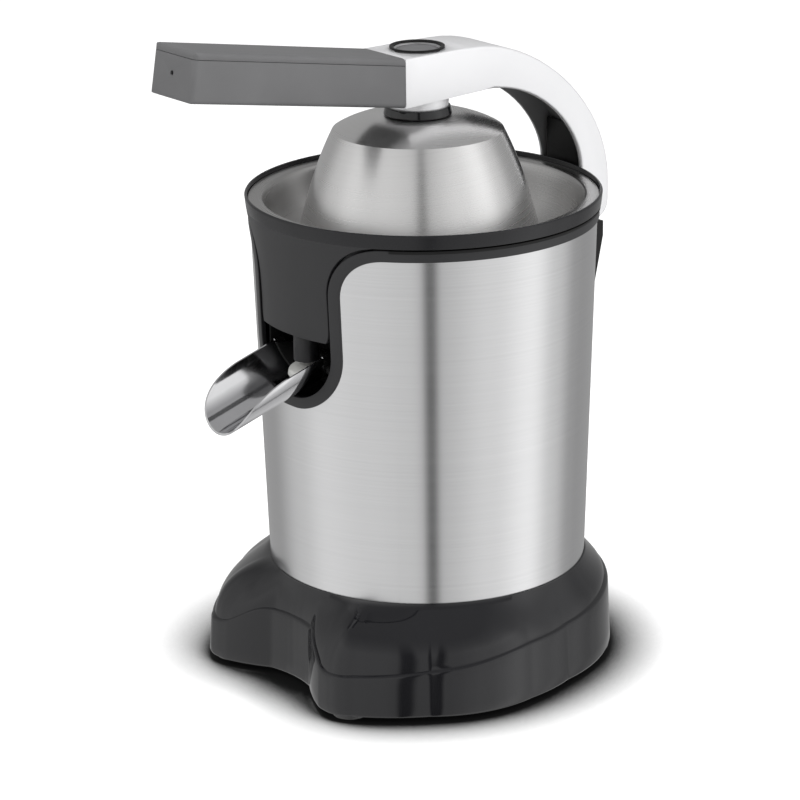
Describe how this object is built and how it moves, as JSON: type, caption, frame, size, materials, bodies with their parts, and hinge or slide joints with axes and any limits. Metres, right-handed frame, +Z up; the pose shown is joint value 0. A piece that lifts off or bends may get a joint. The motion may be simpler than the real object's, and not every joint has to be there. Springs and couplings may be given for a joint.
{
  "type": "citrus press juicer",
  "caption": "Electric citrus press: a hinged lever swings a steel dome down over a motor-driven cone, and juice leaves through a tilting steel spout.",
  "frame": {"origin": "on the table, on the vertical axis of the drive shaft and the sleeve", "axes": "+Z up along the drive shaft, -Y towards the spout and the handle, +X to the right as seen from the front"},
  "size_m": [0.197, 0.2553, 0.3307],
  "materials": {
    "gloss_black": "piano gloss, moulded",
    "satin_black": "satin, fine moulded texture",
    "deep_black": "matt, moulded",
    "soft_grey": "soft-touch matt",
    "button_grey": "satin",
    "brushed_body": "brushed round the body",
    "brushed_dome": "brushed, spun",
    "satin_steel": "satin, pressed",
    "polished_steel": "mirror polished",
    "silver_paint": "satin silver paint on a die casting",
    "lining_grey": "satin",
    "seal_grey": "silicone",
    "rubber_black": "matt rubber",
    "seal_red": "silicone",
    "zinc_steel": "zinc plated",
    "brass": "sintered",
    "copper": "enamelled copper windings",
    "core_steel": "varnished laminations",
    "gear_white": "natural acetal",
    "fan_blue": "moulded",
    "switch_red": "moulded",
    "inner_grey": "moulded"
  },
  "bodies": {
    "housing": {"base_shell": "gloss_black", "base_plate": "satin_black", "rubber_feet": "rubber_black", "base_screws": "zinc_steel", "cord_gland": "rubber_black", "sleeve": "brushed_body", "window_trim": "satin_black", "spout_pocket": "deep_black", "chassis": "inner_grey", "rear_bracket": "satin_black", "bracket_post": "satin_black", "bracket_screws": "zinc_steel", "hinge_pin": "zinc_steel", "juice_bowl": "satin_black", "bowl_liner": "satin_steel", "strainer": "satin_steel", "shaft_seal": "seal_red", "motor_case": "zinc_steel", "motor_cap": "zinc_steel", "stator_core": "core_steel", "stator_coils": "copper", "motor_bushes": "brass", "motor_screws": "zinc_steel", "gear_case": "inner_grey", "gear_lid": "inner_grey", "idler_axle": "zinc_steel", "output_bush": "brass", "switch_body": "switch_red", "return_spring": "zinc_steel"},
    "output_wheel": {"output_gear": "gear_white"},
    "press_shaft": {"drive_shaft": "satin_steel", "press_cone": "satin_black"},
    "idler_wheel": {"idler_gear": "gear_white"},
    "rotor": {"rotor_core": "core_steel", "rotor_shaft": "zinc_steel", "motor_pinion": "brass", "motor_fan": "fan_blue"},
    "start_plunger": {"switch_plunger": "gear_white"},
    "spout": {"spout_chute": "polished_steel", "spout_yoke": "deep_black", "drip_pad": "seal_grey"},
    "lever": {"arm_casting": "silver_paint", "arm_lining": "lining_grey", "handle_lower": "soft_grey", "handle_upper": "soft_grey", "handle_screws": "zinc_steel", "dome_collar": "gloss_black", "dome_spigot": "satin_steel", "press_dome": "brushed_dome", "dome_liner": "inner_grey", "dome_nut": "zinc_steel"},
    "button": {"release_button": "button_grey"},
    "latch": {"dome_latch": "zinc_steel"}
  },
  "joints": [
    {"name": "output_spin", "type": "hinge", "parent": "housing", "child": "output_wheel", "pos_m": [0, 0, 0.159], "axis": [0, 0, 1], "continuous": true},
    {"name": "shaft_press", "type": "slide", "parent": "output_wheel", "child": "press_shaft", "axis": [0, 0, 1], "range_m": [-0.0025, 0], "stiffness_N_per_m": 2500, "springref_m": 0.0025, "deforming": ["return_spring"]},
    {"name": "idler_spin", "type": "hinge", "parent": "housing", "child": "idler_wheel", "pos_m": [0.02601, 0.02342, 0.15], "axis": [0, 0, 1], "continuous": true},
    {"name": "motor_spin", "type": "hinge", "parent": "housing", "child": "rotor", "pos_m": [0, 0.03066, 0.15], "axis": [0, 0, 1], "continuous": true},
    {"name": "plunger_slide", "type": "slide", "parent": "housing", "child": "start_plunger", "axis": [0, 0, 1], "range_m": [-0.0025, 0]},
    {"name": "spout_tilt", "type": "hinge", "parent": "housing", "child": "spout", "pos_m": [0, -0.06, 0.163], "axis": [-1, 0, 0], "range_deg": [0, 12]},
    {"name": "lever_swing", "type": "hinge", "parent": "housing", "child": "lever", "pos_m": [0, 0.0974, 0.2185], "axis": [-1, 0, 0], "range_deg": [0, 70]},
    {"name": "button_press", "type": "slide", "parent": "lever", "child": "button", "axis": [0, 0, 1], "range_m": [-0.003, 0], "stiffness_N_per_m": 700, "springref_m": 0.002},
    {"name": "latch_slide", "type": "slide", "parent": "lever", "child": "latch", "axis": [0, 1, 0], "range_m": [-0.003, 0]}
  ],
  "couplings": [
    {"joint": "idler_spin", "follows": "output_spin", "ratio": -3.6667},
    {"joint": "motor_spin", "follows": "output_spin", "ratio": 12.833},
    {"joint": "plunger_slide", "follows": "shaft_press", "ratio": 1},
    {"joint": "latch_slide", "follows": "button_press", "ratio": 1}
  ]
}
